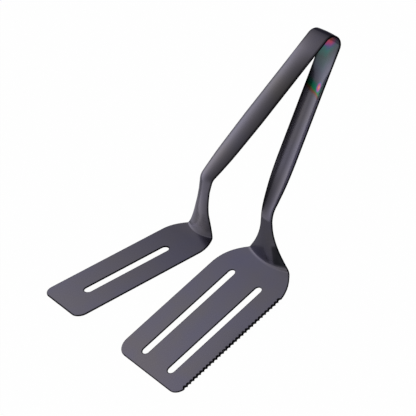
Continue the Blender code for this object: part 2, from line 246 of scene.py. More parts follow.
class TongsStage(bpy.types.PropertyGroup):
    """The stage and the camera."""

    floor: bpy.props.FloatVectorProperty(
        name="Floor", description="Colour of the floor", subtype="COLOR", default=linear("#BDBDBD"))
    floor_shine: bpy.props.FloatProperty(
        name="Floor in the metal", description="How white the metal mirrors the floor", default=0.256,
        min=0.0)
    back_light_from: bpy.props.FloatVectorProperty(
        name="Back light from", description="Direction of the big soft light behind the tongs",
        subtype="XYZ", default=(0.105, -0.962, 0.251))
    back_light: bpy.props.FloatProperty(
        name="Back light", description="Brightness of the light behind the tongs", default=1.304, min=0.0)
    top_light_from: bpy.props.FloatVectorProperty(
        name="Top light from", description="Direction of the soft light above the tongs",
        subtype="XYZ", default=(-0.127, -0.55, 0.826))
    top_light: bpy.props.FloatProperty(
        name="Top light", description="Brightness of the light above the tongs", default=0.608, min=0.0)
    side_light_from: bpy.props.FloatVectorProperty(
        name="Side light from", description="Direction of the low soft light beyond the blades",
        subtype="XYZ", default=(0.884, -0.112, -0.453))
    side_light: bpy.props.FloatProperty(
        name="Side light", description="Brightness of the light beyond the blades", default=1.392,
        min=0.0)
    camera_place: bpy.props.FloatVectorProperty(
        name="Camera place", description="Where the camera stands", subtype="XYZ", unit="LENGTH",
        default=(0.27669, 0.89171, 0.87427))
    camera_turn: bpy.props.FloatVectorProperty(
        name="Camera turn", description="How the camera is turned", subtype="EULER",
        default=(math.radians(45.9991), math.radians(21.7226), math.radians(140.8805)))
    camera_lens: bpy.props.FloatProperty(
        name="Lens", description="Focal length in millimetres", default=158.34)


def ease(place):
    """A ramp from 0 to 1 that starts and ends level."""
    place = min(1.0, max(0.0, place))
    return place * place * (3.0 - 2.0 * place)


def between(shares, place):
    """Read a table of shares at a place, on a smooth curve through its points."""
    place = min(shares[-1][0], max(shares[0][0], place))
    index = next(number for number in range(1, len(shares)) if place <= shares[number][0])
    low, start = shares[index - 1]
    high, end = shares[index]
    before = shares[max(index - 2, 0)]
    after = shares[min(index + 1, len(shares) - 1)]
    start_slope = (end - before[1]) / (high - before[0])
    end_slope = (after[1] - start) / (after[0] - low)
    span = high - low
    step = (place - low) / span
    start_part = step * (1.0 - step) ** 2 * span * start_slope
    end_part = step ** 2 * (step - 1.0) * span * end_slope
    return start + (end - start) * ease(step) + start_part + end_part


def strip_runs():
    """Length and turn of each run of the strip's centre line, from fold to fold."""
    return (
        (WIDE_NECK_RUN, WIDE_NECK_TURN),
        (WIDE_BEND_RADIUS * WIDE_BEND_TURN, WIDE_BEND_TURN),
        (WIDE_ARM_RUN, 0.0),
        (BOW_RADIUS * BOW_TURN, -BOW_TURN),
        (NARROW_ARM_RUN, 0.0),
        (NARROW_BEND_RADIUS * NARROW_BEND_TURN, -NARROW_BEND_TURN),
        (NARROW_NECK_RUN, 0.0),
        (NARROW_CURL_RADIUS * NARROW_CURL_TURN, -NARROW_CURL_TURN),
    )


RUNS = strip_runs()
STRIP_LENGTH = sum(length for length, turn in RUNS)
WIDE_TANGENT = sum(length for length, turn in RUNS[:3])
NARROW_TANGENT = sum(length for length, turn in RUNS[:4])
APEX = (WIDE_TANGENT + NARROW_TANGENT) / 2.0
STRIP_START = (-WIDE_LENGTH / 2.0, SHEET / 2.0, WIDE_FOLD_HEADING)


def strip_point(distance):
    """Place and heading of the strip's centre line, a distance from the wide fold."""
    x, z, heading = STRIP_START
    for length, turn in RUNS:
        step = min(distance, length)
        angle = turn * step / length
        chord = step * math.sin(angle / 2.0) / (angle / 2.0) if angle else step
        x += chord * math.cos(heading + angle / 2.0)
        z += chord * math.sin(heading + angle / 2.0)
        heading += angle
        distance -= step
        if distance <= 0.0:
            break
    return x, z, heading


def strip_direction(distance):
    """Direction of the strip's centre line, a distance from the wide fold."""
    heading = strip_point(distance)[2]
    return Vector((math.cos(heading), 0.0, math.sin(heading)))


def run_out(depth, reach):
    """Depth of an arm's channel and sink of its rims, a distance before the bow, where it runs out."""
    level = ease(reach / CHANNEL_RAMP)
    return BOW_CROWN + (depth - BOW_CROWN) * level, RIM_SHARE * depth * level + BOW_CROWN * (1.0 - level)


def wide_section(rise):
    """Half width, channel depth and sink of the rims of the wide half, a distance up from its fold."""
    if rise < WIDE_WAIST:
        flare = between(FLARE_SHARES, 1.0 - rise / WIDE_WAIST)
        half = WIDE_WAIST_HALF + (WIDE_HALF["fold_half"] - WIDE_WAIST_HALF) * flare
        return half, -WIDE_HALF["fold_bulge"] * flare, 0.0
    swell = (rise - WIDE_WAIST) / WIDE_SWELL
    half = WIDE_WAIST_HALF + (STRIP_HALF - WIDE_WAIST_HALF) * between(WIDE_SWELL_SHARES, swell)
    depth = CHANNEL_DEPTH * between(WIDE_HOLLOW_SHARES, swell)
    return (half, *run_out(depth, WIDE_TANGENT - rise))


def narrow_section(rise):
    """Half width, channel depth and sink of the rims of the narrow half, a distance up from its fold."""
    if rise < NARROW_WAIST:
        flare = between(FLARE_SHARES, 1.0 - rise / NARROW_WAIST)
        half = NARROW_WAIST_HALF + (NARROW_HALF["fold_half"] - NARROW_WAIST_HALF) * flare
        waist_depth = CHANNEL_DEPTH * NARROW_HOLLOW_SHARES[0][1]
        depth = waist_depth + (NARROW_HALF["fold_bulge"] - waist_depth) * flare
        return half, depth, RIM_SHARE * depth
    swell = (rise - NARROW_WAIST) / NARROW_SWELL
    half = NARROW_WAIST_HALF + (STRIP_HALF - NARROW_WAIST_HALF) * between(NARROW_SWELL_SHARES, swell)
    depth = CHANNEL_DEPTH * between(NARROW_HOLLOW_SHARES, swell)
    return (half, *run_out(depth, STRIP_LENGTH - rise - NARROW_TANGENT))


WIDE_HALF = {
    "section": wide_section,
    "strip_place": lambda rise: rise,
    "end_rise": APEX,
    "fold_half": 0.0229,
    "fold_bulge": 0.0039,
    "blade_run": 0.0015,
    "neck_run": 0.0015,
    "full_half": 0.0377,
    "length": WIDE_LENGTH,
    "shoulder": 0.0275,
    "power": 2.4,
    "plain_corner": 0.0110,
    "far_corner": 0.0090,
    "frame": Matrix.Translation((STRIP_START[0], 0.0, STRIP_START[1])),
    "slots": ((0.0216, 0.1100, -0.0155), (0.0216, 0.1100, 0.0155)),
    "teeth": (0.0201, 30),
    "neck_end": WIDE_WAIST + WIDE_SWELL / 2.0,
    "inner_up": True,
}
FOLD_END = strip_point(STRIP_LENGTH)
NARROW_HALF = {
    "section": narrow_section,
    "strip_place": lambda rise: STRIP_LENGTH - rise,
    "end_rise": STRIP_LENGTH - APEX,
    "fold_half": 0.0128,
    "fold_bulge": 0.0036,
    "blade_run": 0.0020,
    "neck_run": 0.0140,
    "full_half": 0.0213,
    "length": 0.1160,
    "shoulder": 0.0180,
    "power": 2.0,
    "plain_corner": 0.0070,
    "far_corner": 0.0070,
    "frame": Matrix.Translation((FOLD_END[0], 0.0, FOLD_END[1]))
    @ Matrix.Rotation(-NARROW_BLADE_PITCH, 4, "Y"),
    "slots": ((0.0286, 0.0962, 0.0),),
    "teeth": None,
    "neck_end": NARROW_WAIST + NARROW_SWELL / 2.0,
    "inner_up": False,
}


def crown(share):
    """Rise of a cross-section at a share of its width, from 0 at a rim to 1 in the middle."""
    return 1.0 - abs(2.0 * share - 1.0) ** FLANK_POWER


def blade_half_width(half, forward):
    """Half width of a blade without its corners, a distance forward from the fold."""
    left = max(0.0, 1.0 - forward / half["shoulder"])
    return half["fold_half"] + (half["full_half"] - half["fold_half"]) * (1.0 - left ** half["power"])


def corner_cut(half, corner, forward):
    """How much a round corner takes off a blade's side, a distance forward from the fold."""
    over = max(0.0, forward - half["length"] + corner)
    return corner - math.sqrt(max(0.0, corner ** 2 - over ** 2))


def blade_row(half, forward):
    """Points across a blade in world space."""
    width = blade_half_width(half, forward)
    low = -width + corner_cut(half, half["plain_corner"], forward)
    high = width - corner_cut(half, half["far_corner"], forward)
    straighten = ease(1.0 - forward / half["shoulder"])
    row = []
    for column in range(COLUMNS + 1):
        share = column / COLUMNS
        lift = half["fold_bulge"] * crown(share) * straighten
        row.append(half["frame"] @ Vector((forward + lift, low + (high - low) * share, 0.0)))
    return row


def strip_row(half, rise, sheet):
    """Points across the neck, the arm or the bow in world space."""
    x, z, heading = strip_point(half["strip_place"](rise))
    width, depth, sink = half["section"](rise)
    width -= sheet / 2.0 * math.sin(math.atan(FLANK_POWER * abs(depth) / width))
    outward = Vector((-math.sin(heading), 0.0, math.cos(heading)))
    turned = ease(1.0 - (rise - half["neck_run"]) / half["fold_half"])
    forward = half["frame"].to_3x3() @ Vector((1.0, 0.0, 0.0))
    side = 1.0 if outward.dot(forward) > 0.0 else -1.0
    outward = outward.lerp(forward * side, turned).normalized()
    drop = sink * (1.0 - turned)
    row = []
    for column in range(COLUMNS + 1):
        share = column / COLUMNS
        flat = Vector((x, width * (2.0 * share - 1.0), z))
        row.append(flat + outward * (depth * crown(share) - drop))
    return row


def fold_rows(lower, corner, upper):
    """Rows of a round fold between a row on the blade and a row on the neck."""
    rows = []
    for step in range(FOLD_STEPS + 1):
        turn = step / FOLD_STEPS
        row = []
        for low, middle, high in zip(lower, corner, upper):
            row.append((1.0 - turn) ** 2 * low + 2.0 * turn * (1.0 - turn) * middle + turn ** 2 * high)
        rows.append(row)
    return rows


def spread(start, end, step):
    """Even places from start to end, about a step apart, without the end."""
    count = max(1, round(abs(end - start) / step))
    return [start + (end - start) * number / count for number in range(count)]


def blade_places(half):
    """Places of the blade's rows, from the tip to the fold."""
    corners = {half["plain_corner"], half["far_corner"]}
    places = []
    for corner in corners:
        for step in range(CORNER_STEPS + 1):
            places.append(half["length"] - corner * (1.0 - math.sin(math.pi / 2.0 * step / CORNER_STEPS)))
    places += spread(half["length"] - max(corners), half["blade_run"] * 2.0, BLADE_STEP)
    places.append(half["blade_run"] * 2.0)
    places.sort(reverse=True)
    kept = [places[0]]
    for place in places[1:]:
        if kept[-1] - place > ROW_GAP:
            kept.append(place)
    return kept


def strip_places(half):
    """Places of the rows above the fold, up to the top of the bow."""
    bow = half["end_rise"] - (NARROW_TANGENT - WIDE_TANGENT) / 2.0
    ramp = bow - CHANNEL_RAMP
    places = spread(half["neck_run"], half["neck_end"], NECK_STEP)
    places += spread(half["neck_end"], ramp, ARM_STEP)
    places += spread(ramp, bow, NECK_STEP)
    places += spread(bow, half["end_rise"] - END_STEP, BOW_STEP)
    return places + [half["end_rise"] - END_STEP, half["end_rise"]]


def all_rows(half, sheet):
    """Every row of a half as (distance along the strip, points), from the tip to the top of the bow."""
    rows = [(-place, blade_row(half, place)) for place in blade_places(half)]
    places = strip_places(half)
    neck = strip_row(half, places[0], sheet)
    fold = fold_rows(blade_row(half, half["blade_run"]), blade_row(half, 0.0), neck)
    for number, row in enumerate(fold):
        turn = number / FOLD_STEPS
        rows.append((half["neck_run"] * turn ** 2 - half["blade_run"] * (1.0 - turn) ** 2, row))
    rows += [(place, strip_row(half, place, sheet)) for place in places[1:]]
    return rows


def press_blank(name, half, sheet):
    """Add a flat blank as a grid and press its rows to the half's shape."""
    rows = all_rows(half, sheet)
    last = len(rows) - 1
    bpy.ops.mesh.primitive_grid_add(x_subdivisions=COLUMNS, y_subdivisions=last, size=1.0)
    blank = bpy.context.object
    blank.name = name
    blank.data.name = name
    address = []
    for vertex in blank.data.vertices:
        column = round((vertex.co.x + 0.5) * COLUMNS)
        row = round((vertex.co.y + 0.5) * last)
        address.append((row, column))
        vertex.co = rows[row][1][column]
    strip_map = blank.data.uv_layers.active
    strip_map.name = "strip_map"
    rim_map = blank.data.uv_layers.new(name="rim_map", do_init=False)
    for corner in blank.data.loops:
        row, column = address[corner.vertex_index]
        rise, points = rows[row]
        to_side = min(points[column].y - points[0].y, points[-1].y - points[column].y)
        strip_map.data[corner.index].uv = (points[column].y, rise)
        rim_map.data[corner.index].uv = (to_side, half["length"] + rise)
    return blank


def select_only(piece):
    """Make one object the only selected and active one."""
    bpy.ops.object.select_all(action="DESELECT")
    piece.select_set(True)
    bpy.context.view_layer.objects.active = piece


def choose_edges(piece, numbers):
    """Select edges of a piece by their numbers and enter edit mode."""
    select_only(piece)
    bpy.ops.object.mode_set(mode="EDIT")
    bpy.ops.mesh.select_mode(type="EDGE")
    bpy.ops.mesh.select_all(action="DESELECT")
    bpy.ops.object.mode_set(mode="OBJECT")
    for number in numbers:
        piece.data.edges[number].select = True
    bpy.ops.object.mode_set(mode="EDIT")


def apply_modifier(piece, kind, **settings):
    """Add a modifier with its settings and apply it."""
    select_only(piece)
    modifier = piece.modifiers.new(kind.lower(), kind)
    for key, value in settings.items():
        setattr(modifier, key, value)
    bpy.ops.object.modifier_apply(modifier=modifier.name)


def cut_away(piece, cutter, materials, finish):
    """Cut a cutter's shape out of the sheet, leaving walls with the given finish."""
    for material in materials:
        cutter.data.materials.append(material)
    for face in cutter.data.polygons:
        face.material_index = finish
    apply_modifier(piece, "BOOLEAN", object=cutter, operation="DIFFERENCE", solver="EXACT")
    bpy.data.objects.remove(cutter)


def slot_punch(half, start, end, middle, width, sheet):
    """A punch with round ends for one drain slot, standing through the blade."""
    bpy.ops.mesh.primitive_cube_add(size=1.0, location=((start + end) / 2.0, middle, 0.0))
    punch = bpy.context.object
    punch.scale = (end - start, width, sheet * PUNCH_LENGTH)
    bpy.ops.object.transform_apply(location=True, rotation=False, scale=True)
    places = [vertex.co for vertex in punch.data.vertices]
    upright = [edge.index for edge in punch.data.edges
               if abs(places[edge.vertices[0]].z - places[edge.vertices[1]].z) > sheet]
    choose_edges(punch, upright)
    bpy.ops.mesh.bevel(offset=width / 2.0 - SAME_PLACE, segments=PUNCH_SEGMENTS, affect="EDGES")
    bpy.ops.object.mode_set(mode="OBJECT")
    punch.data.transform(half["frame"])
    return punch


def grinding_wheels(half, sizes, first):
    """Every second leaning round wheel that grinds a tooth gap, as one object."""
    start, count = half["teeth"]
    half_chord = sizes.tooth_pitch / 2.0
    sunk = sizes.tooth_depth * math.cos(sizes.tooth_lean)
    radius = (half_chord ** 2 + sunk ** 2) / (2.0 * sunk)
    wheels = []
    for number in range(first, count, 2):
        along = start + sizes.tooth_pitch * (number + 0.5)
        side = blade_half_width(half, along) - corner_cut(half, half["far_corner"], along)
        bottom = side - sizes.tooth_depth + radius / math.cos(sizes.tooth_lean)
        middle = bottom - sizes.sheet / 2.0 * math.tan(sizes.tooth_lean)
        bpy.ops.mesh.primitive_cylinder_add(
            vertices=WHEEL_VERTICES, radius=radius, depth=sizes.sheet * WHEEL_LENGTH,
            location=(along, middle, 0.0), rotation=(sizes.tooth_lean, 0.0, 0.0))
        wheels.append(bpy.context.object)
    for wheel in wheels:
        wheel.select_set(True)
    bpy.context.view_layer.objects.active = wheels[0]
    bpy.ops.object.join()
    joined = bpy.context.object
    bpy.ops.object.transform_apply(location=True, rotation=True, scale=True)
    joined.data.transform(half["frame"])
    return joined


def corners_of(mesh, finish):
    """Edges round the faces of a finish, but not where the two halves meet at the top of the bow."""
    x, z = strip_point(APEX)[:2]
    top = Vector((x, 0.0, z))
    along = strip_direction(APEX)
    sides = {}
    for face in mesh.polygons:
        for key in face.edge_keys:
            sides.setdefault(key, []).append(face.index)
    found = []
    for edge in mesh.edges:
        pair = [mesh.polygons[index] for index in sides[edge.key]]
        ends = [mesh.vertices[index].co for index in edge.vertices]
        if len(pair) != 2 or all(abs((point - top).dot(along)) < SAME_PLACE for point in ends):
            continue
        marked = [face.material_index == finish for face in pair]
        turn = pair[0].normal.angle(pair[1].normal, 0.0)
        if marked[0] != marked[1] or (all(marked) and turn > CORNER_ANGLE):
            found.append(edge.index)
    return found


def round_edges(piece, finish, width):
    """Break the edges round the faces of a finish with a small round."""
    choose_edges(piece, corners_of(piece.data, finish))
    bpy.ops.mesh.bevel(
        offset=width, segments=EDGE_SEGMENTS, affect="EDGES", clamp_overlap=False, material=finish)
    bpy.ops.object.mode_set(mode="OBJECT")


def coat_rims(piece, half):
    """Coat the flat rims above the fold, and darken the outer side of the crest with painted shade.

    The rims' rounded corners, which the bevel left selected, stay as they are.
    """
    strip_map = piece.data.uv_layers["strip_map"].data
    for face in piece.data.polygons:
        rises = [strip_map[corner].uv.y for corner in face.loop_indices]
        above_fold = min(rises) > half["neck_run"] + SAME_PLACE
        if face.material_index == EDGE and above_fold and not face.select:
            face.material_index = RIM
        if face.material_index == OUTER and min(rises) > CREST_START:
            face.material_index = CREST


def make_half(name, half, scene):
    """Press, thicken, punch and finish one half of the tongs."""
    sizes = scene.tongs_sizes
    materials = steel_materials(scene.tongs_finish, sizes.slot_width)
    piece = press_blank(name, half, sizes.sheet)
    for material in materials:
        piece.data.materials.append(material)
    up = half["frame"].to_3x3() @ Vector((0.0, 0.0, 1.0))
    faces_up = piece.data.polygons[0].normal.dot(up) > 0.0
    if faces_up == half["inner_up"]:
        piece.data.flip_normals()
    apply_modifier(
        piece, "SOLIDIFY", thickness=sizes.sheet, offset=0.0, use_even_offset=True,
        use_quality_normals=True, material_offset=INNER, material_offset_rim=EDGE)
    for start, end, middle in half["slots"]:
        punch = slot_punch(half, start, end, middle, sizes.slot_width, sizes.sheet)
        cut_away(piece, punch, materials, EDGE)
    round_edges(piece, EDGE, sizes.edge_round)
    coat_rims(piece, half)
    if half["teeth"]:
        for first in (0, 1):
            cut_away(piece, grinding_wheels(half, sizes, first), materials, GROUND)
    select_only(piece)
    bpy.ops.object.shade_smooth_by_angle(angle=SHARP_ANGLE)
    apply_modifier(piece, "WEIGHTED_NORMAL", keep_sharp=True)
    return piece


def node(tree, kind, inputs=None, stops=(), **settings):
    """Add a node with its settings, its inputs' values or links, and the colours of its ramp.

    Where a value is a node, its first output in use is linked.
    """
    made = tree.nodes.new(kind)
    for key, value in settings.items():
        setattr(made, key, value)
    for socket, value in (inputs or {}).items():
        if isinstance(value, bpy.types.Node):
            value = next(output for output in value.outputs if output.enabled)
        if isinstance(value, bpy.types.NodeSocket):
            tree.links.new(value, made.inputs[socket])
        else:
            made.inputs[socket].default_value = value
    for number, (place, colour) in enumerate(stops):
        if number < 2:
            stop = made.color_ramp.elements[number]
            stop.position = place
        else:
            stop = made.color_ramp.elements.new(place)
        stop.color = (*colour, 1.0)
    return made


def new_material(name):
    """An empty node material and its output node."""
    material = bpy.data.materials.new(name)
    material.use_nodes = True
    material.node_tree.nodes.clear()
    return material, node(material.node_tree, "ShaderNodeOutputMaterial")


def painted_shading_stops(shades):
    """Ramp stops from pairs of a place along the strip and a factor of painted light and shade for the
    coat's colour.
    """
    return [((place - STRIP_MAP_START) / STRIP_MAP_SPAN, factor) for place, factor in shades]


def hue_stops(hues):
    """Ramp stops from pairs of a place on the ramp and an sRGB hex colour."""
    return [(place, linear(colour)) for place, colour in hues]


def gunmetal_coat(name, finish, shades, grazing, marks=None, slots=(), slot_width=0.0):
    """Gunmetal PVD coat on satin-blasted stainless steel: dark violet grey with a soft sheen.

    The shades are painted light and shade along the strip, as factors on its colour: lighter towards a
    blade's tip, bluer at the fold, darkest on the bow. The grazing colour is near white where the coat is
    satin and grey on the crest, as painted shade. Marks adds what only one side shows, and painted shade
    darkens the coat round rims, tips and slots.
    """
    material, output = new_material(name)
    tree = material.node_tree
    place = node(tree, "ShaderNodeTexCoord").outputs["Object"]
    strip_map = node(tree, "ShaderNodeUVMap", uv_map="strip_map")
    strip = node(tree, "ShaderNodeSeparateXYZ", {"Vector": strip_map}).outputs
    # Blotches of the coat, about 35 mm wide
    cloud = node(tree, "ShaderNodeTexNoise", {"Vector": place, "Scale": 28.0, "Detail": 3.0})
    # Blasting leaves pits of about 0.05 mm, drawn 0.6 mm wide so that they show
    grain = node(tree, "ShaderNodeTexNoise", {"Vector": place, "Scale": 1700.0, "Detail": 2.0})
    warmth = node(tree, "ShaderNodeMapRange", {"Value": cloud, "From Min": 0.35, "From Max": 0.65})
    colour = node(tree, "ShaderNodeMix", {
        "Factor": warmth, "A": (*finish.coat, 1.0), "B": (*finish.coat_warm, 1.0)}, data_type="RGBA")
    # Painted light and shade along the strip, as factors on the coat's colour
    along = node(tree, "ShaderNodeMapRange", {
        "Value": strip["Y"], "From Min": STRIP_MAP_START, "From Max": STRIP_MAP_START + STRIP_MAP_SPAN})
    shade = node(tree, "ShaderNodeValToRGB", {"Fac": along}, stops=painted_shading_stops(shades))
    colour = node(tree, "ShaderNodeMix", {
        "Factor": 1.0, "A": colour, "B": shade}, data_type="RGBA", blend_type="MULTIPLY")
    # Painted light and shade that only one side shows, with the heat colours on the inner side
    if marks:
        colour = marks(tree, colour, strip)
    # Painted shade darkens the coat over the last millimetre before rims, tips and slots, and over two by
    # the bow
    rim_map = node(tree, "ShaderNodeUVMap", uv_map="rim_map")
    to_rim = node(tree, "ShaderNodeSeparateXYZ", {"Vector": rim_map}).outputs
    nearest = node(tree, "ShaderNodeMath", {0: to_rim["X"], 1: to_rim["Y"]}, operation="MINIMUM")
    for slot in slots:
        to_slot = slot_distance(tree, strip, slot, slot_width)
        nearest = node(tree, "ShaderNodeMath", {0: nearest, 1: to_slot}, operation="MINIMUM")
    by_bow = node(tree, "ShaderNodeMapRange", {
        "Value": strip["Y"], "From Min": BORDER_WIDENS_FROM, "From Max": BORDER_WIDENS_TO,
        "To Min": BORDER_ON_BLADE, "To Max": BORDER_BY_BOW})
    painted_edge_shade = node(tree, "ShaderNodeMapRange", {
        "Value": nearest, "From Min": BORDER_START, "From Max": by_bow, "To Min": BORDER_SHADE})
    colour = node(tree, "ShaderNodeVectorMath", {0: colour, "Scale": painted_edge_shade}, operation="SCALE")
    # The pits' tops are polished and their bottoms rough, and they are 8 micrometres deep
    satin = node(tree, "ShaderNodeMapRange", {
        "Value": grain, "From Min": 0.3, "From Max": 0.7,
        "To Min": finish.roughness - 0.02, "To Max": finish.roughness + 0.03})
    pits = node(tree, "ShaderNodeBump", {"Height": grain, "Strength": 0.6, "Distance": 0.000008})
    shader = node(tree, "ShaderNodeBsdfPrincipled", {
        "Base Color": colour,
        "Metallic": 1.0,
        "Roughness": satin,
        "Specular Tint": (*grazing, 1.0),
        "Normal": pits})
    tree.links.new(shader.outputs["BSDF"], output.inputs["Surface"])
    return material


def slot_distance(tree, strip, slot, width):
    """Distance on the blade from the wall of a slot with round ends."""
    start, end, middle = slot
    across = node(tree, "ShaderNodeMath", {0: strip["X"], 1: middle}, operation="SUBTRACT")
    along = node(tree, "ShaderNodeMath", {0: strip["Y"], 1: (start + end) / 2.0}, operation="ADD")
    along = node(tree, "ShaderNodeMath", {0: along}, operation="ABSOLUTE")
    along = node(tree, "ShaderNodeMath", {0: along, 1: (end - start - width) / 2.0}, operation="SUBTRACT")
    along = node(tree, "ShaderNodeMath", {0: along, 1: 0.0}, operation="MAXIMUM")
    apart = node(tree, "ShaderNodeCombineXYZ", {"X": across, "Y": along})
    apart = node(tree, "ShaderNodeVectorMath", {0: apart}, operation="LENGTH")
    return node(tree, "ShaderNodeMath", {0: apart, 1: width / 2.0}, operation="SUBTRACT")


def outer_painted_shading(tree, colour, strip):
    """Painted light and shade of the outer side: the neck lighter on the plain side, darker on the other.
    """
    return painted_side_shading(
        tree, colour, strip, stretch=(0.0006, 0.0040, 0.0140, 0.0380), sides=(-0.008, 0.009),
        factors=(2.4, 0.60))


def inner_painted_shading_and_heat_tint(tree, colour, strip):
    """Painted light and shade of the inner side, the arm lighter along its plain rim and dark lobes on
    the flare, and the heat colours.
    """
    # Painted light: the arm lighter along its plain rim
    colour = painted_side_shading(
        tree, colour, strip, stretch=(0.050, 0.075, 0.120, 0.140), sides=(-0.0085, -0.0020),
        factors=(2.6, 1.0))
    colour = painted_flare_lobes(tree, colour, strip)
    return heat_tint(tree, colour, strip)


def painted_side_shading(tree, colour, strip, stretch, sides, factors):
    """Painted light and shade: the coat lighter or darker from one side to the other, over a stretch of
    the strip.

    The stretch tells where the shade starts, is full, starts to fade and has gone.
    """
    low = node(tree, "ShaderNodeMapRange", {
        "Value": strip["Y"], "From Min": stretch[0], "From Max": stretch[1]},
        interpolation_type="SMOOTHSTEP")
    high = node(tree, "ShaderNodeMapRange", {
        "Value": strip["Y"], "From Min": stretch[3], "From Max": stretch[2]},
        interpolation_type="SMOOTHSTEP")
    amount = node(tree, "ShaderNodeMath", {0: low, 1: high}, operation="MULTIPLY")
    across = node(tree, "ShaderNodeMapRange", {
        "Value": strip["X"], "From Min": sides[0], "From Max": sides[1],
        "To Min": factors[0], "To Max": factors[1]})
    shaded = node(tree, "ShaderNodeVectorMath", {0: colour, "Scale": across}, operation="SCALE")
    return node(tree, "ShaderNodeMix", {"Factor": amount, "A": colour, "B": shaded}, data_type="RGBA")


def painted_flare_lobes(tree, colour, strip):
    """Two lobes of painted shade above the fold, beside the flare's lighter middle rib."""
    # Distance from the rib's leaning middle, less its spread
    middle = node(tree, "ShaderNodeMath", {
        0: strip["Y"], 1: RIB_LEAN, 2: strip["X"]}, operation="MULTIPLY_ADD")
    aside = node(tree, "ShaderNodeMath", {0: middle, 1: RIB_FOOT}, operation="SUBTRACT")
    aside = node(tree, "ShaderNodeMath", {0: aside}, operation="ABSOLUTE")
    beyond = node(tree, "ShaderNodeMath", {
        0: strip["Y"], 1: -RIB_SPREAD, 2: aside}, operation="MULTIPLY_ADD")
    beyond = node(tree, "ShaderNodeMapRange", {
        "Value": beyond, "From Min": 0.0002, "From Max": 0.0028},
        interpolation_type="SMOOTHSTEP")
    # The painted lobes end about 12 mm above the fold, fade in over 3 mm and are darkest on the serrated
    # side
    height = node(tree, "ShaderNodeMath", {
        0: strip["X"], 1: -LOBE_SLANT, 2: strip["Y"]}, operation="MULTIPLY_ADD")
    below = node(tree, "ShaderNodeMapRange", {
        "Value": height, "From Min": 0.0132, "From Max": 0.0105},
        interpolation_type="SMOOTHSTEP")
    above = node(tree, "ShaderNodeMapRange", {
        "Value": strip["Y"], "From Min": 0.0010, "From Max": 0.0036},
        interpolation_type="SMOOTHSTEP")
    depth = node(tree, "ShaderNodeMapRange", {
        "Value": strip["X"], "From Min": -0.001, "From Max": 0.0120, "To Min": 0.45, "To Max": 1.0})
    lobe = beyond
    for part in (below, above, depth):
        lobe = node(tree, "ShaderNodeMath", {0: lobe, 1: part}, operation="MULTIPLY")
    return node(tree, "ShaderNodeMix", {
        "Factor": lobe,
        "A": colour,
        "B": (*linear(PAINTED_LOBE_SHADE), 1.0)}, data_type="RGBA")


def heat_tint(tree, colour, strip):
    """Interference colours on the inner side next to the bow, where the coat thins out.

    A thin clear oxide shows teal, then purple, magenta, red and brown as it thickens towards the bow.
    About 30 mm down the arm, a green and orange-brown band crosses the trough, with a drop beside it.
    """
    # Ripples about 6 mm long move the film by up to 4 mm and the band by up to 1.5 mm
    place = node(tree, "ShaderNodeTexCoord").outputs["Object"]
    ripple = node(tree, "ShaderNodeTexNoise", {"Vector": place, "Scale": 160.0, "Detail": 1.0})
    swing = node(tree, "ShaderNodeMath", {0: ripple, 1: 0.5}, operation="SUBTRACT")
    # The film by the bow thickens over 32 mm and is thinner towards the serrated side
    near = node(tree, "ShaderNodeMath", {0: strip["X"], 1: 0.0}, operation="MAXIMUM")
    slant = node(tree, "ShaderNodeMath", {0: near, 1: -1.1, 2: strip["Y"]}, operation="MULTIPLY_ADD")
    film = node(tree, "ShaderNodeMath", {0: swing, 1: 0.008, 2: slant}, operation="MULTIPLY_ADD")
    film = node(tree, "ShaderNodeMapRange", {"Value": film, "From Min": FILM_START, "From Max": FILM_END})
    hues = node(tree, "ShaderNodeValToRGB", {"Fac": film}, stops=hue_stops(FILM_HUES))
    amount = node(tree, "ShaderNodeMapRange", {
        "Value": film, "From Min": 0.0, "From Max": 0.35, "To Max": 0.95})
    fading = node(tree, "ShaderNodeMapRange", {
        "Value": strip["X"], "From Min": 0.0005, "From Max": 0.0060, "To Min": 1.0, "To Max": 0.25})
    amount = node(tree, "ShaderNodeMath", {0: amount, 1: fading}, operation="MULTIPLY")
    colour = node(tree, "ShaderNodeMix", {"Factor": amount, "A": colour, "B": hues}, data_type="RGBA")
    # The band across the trough: green above, orange-brown below, full over 6 mm and gone over 11 mm
    band = node(tree, "ShaderNodeMath", {0: strip["X"], 1: 0.35, 2: strip["Y"]}, operation="MULTIPLY_ADD")
    band = node(tree, "ShaderNodeMath", {0: swing, 1: 0.003, 2: band}, operation="MULTIPLY_ADD")
    band = node(tree, "ShaderNodeMapRange", {"Value": band, "From Min": BAND_START, "From Max": BAND_END})
    stain = node(tree, "ShaderNodeValToRGB", {"Fac": band}, stops=hue_stops(BAND_HUES))
    edge = node(tree, "ShaderNodeMath", {0: band, 1: 0.5}, operation="SUBTRACT")
    edge = node(tree, "ShaderNodeMath", {0: edge}, operation="ABSOLUTE")
    edge = node(tree, "ShaderNodeMapRange", {"Value": edge, "From Min": 0.48, "From Max": 0.25})
    faint = node(tree, "ShaderNodeMapRange", {
        "Value": strip["X"], "From Min": 0.0035, "From Max": 0.0085, "To Min": 1.0, "To Max": 0.35})
    edge = node(tree, "ShaderNodeMath", {0: edge, 1: faint}, operation="MULTIPLY")
    colour = node(tree, "ShaderNodeMix", {"Factor": edge, "A": colour, "B": stain}, data_type="RGBA")
    # The drop beside it: orange in the middle, then red, magenta and blue-green rings, 9 mm long
    drop = drop_distance(tree, strip)
    rings = node(tree, "ShaderNodeValToRGB", {"Fac": drop}, stops=hue_stops(DROP_HUES))
    reach = node(tree, "ShaderNodeMapRange", {"Value": drop, "From Min": 1.0, "From Max": 0.8})
    return node(tree, "ShaderNodeMix", {"Factor": reach, "A": colour, "B": rings}, data_type="RGBA")


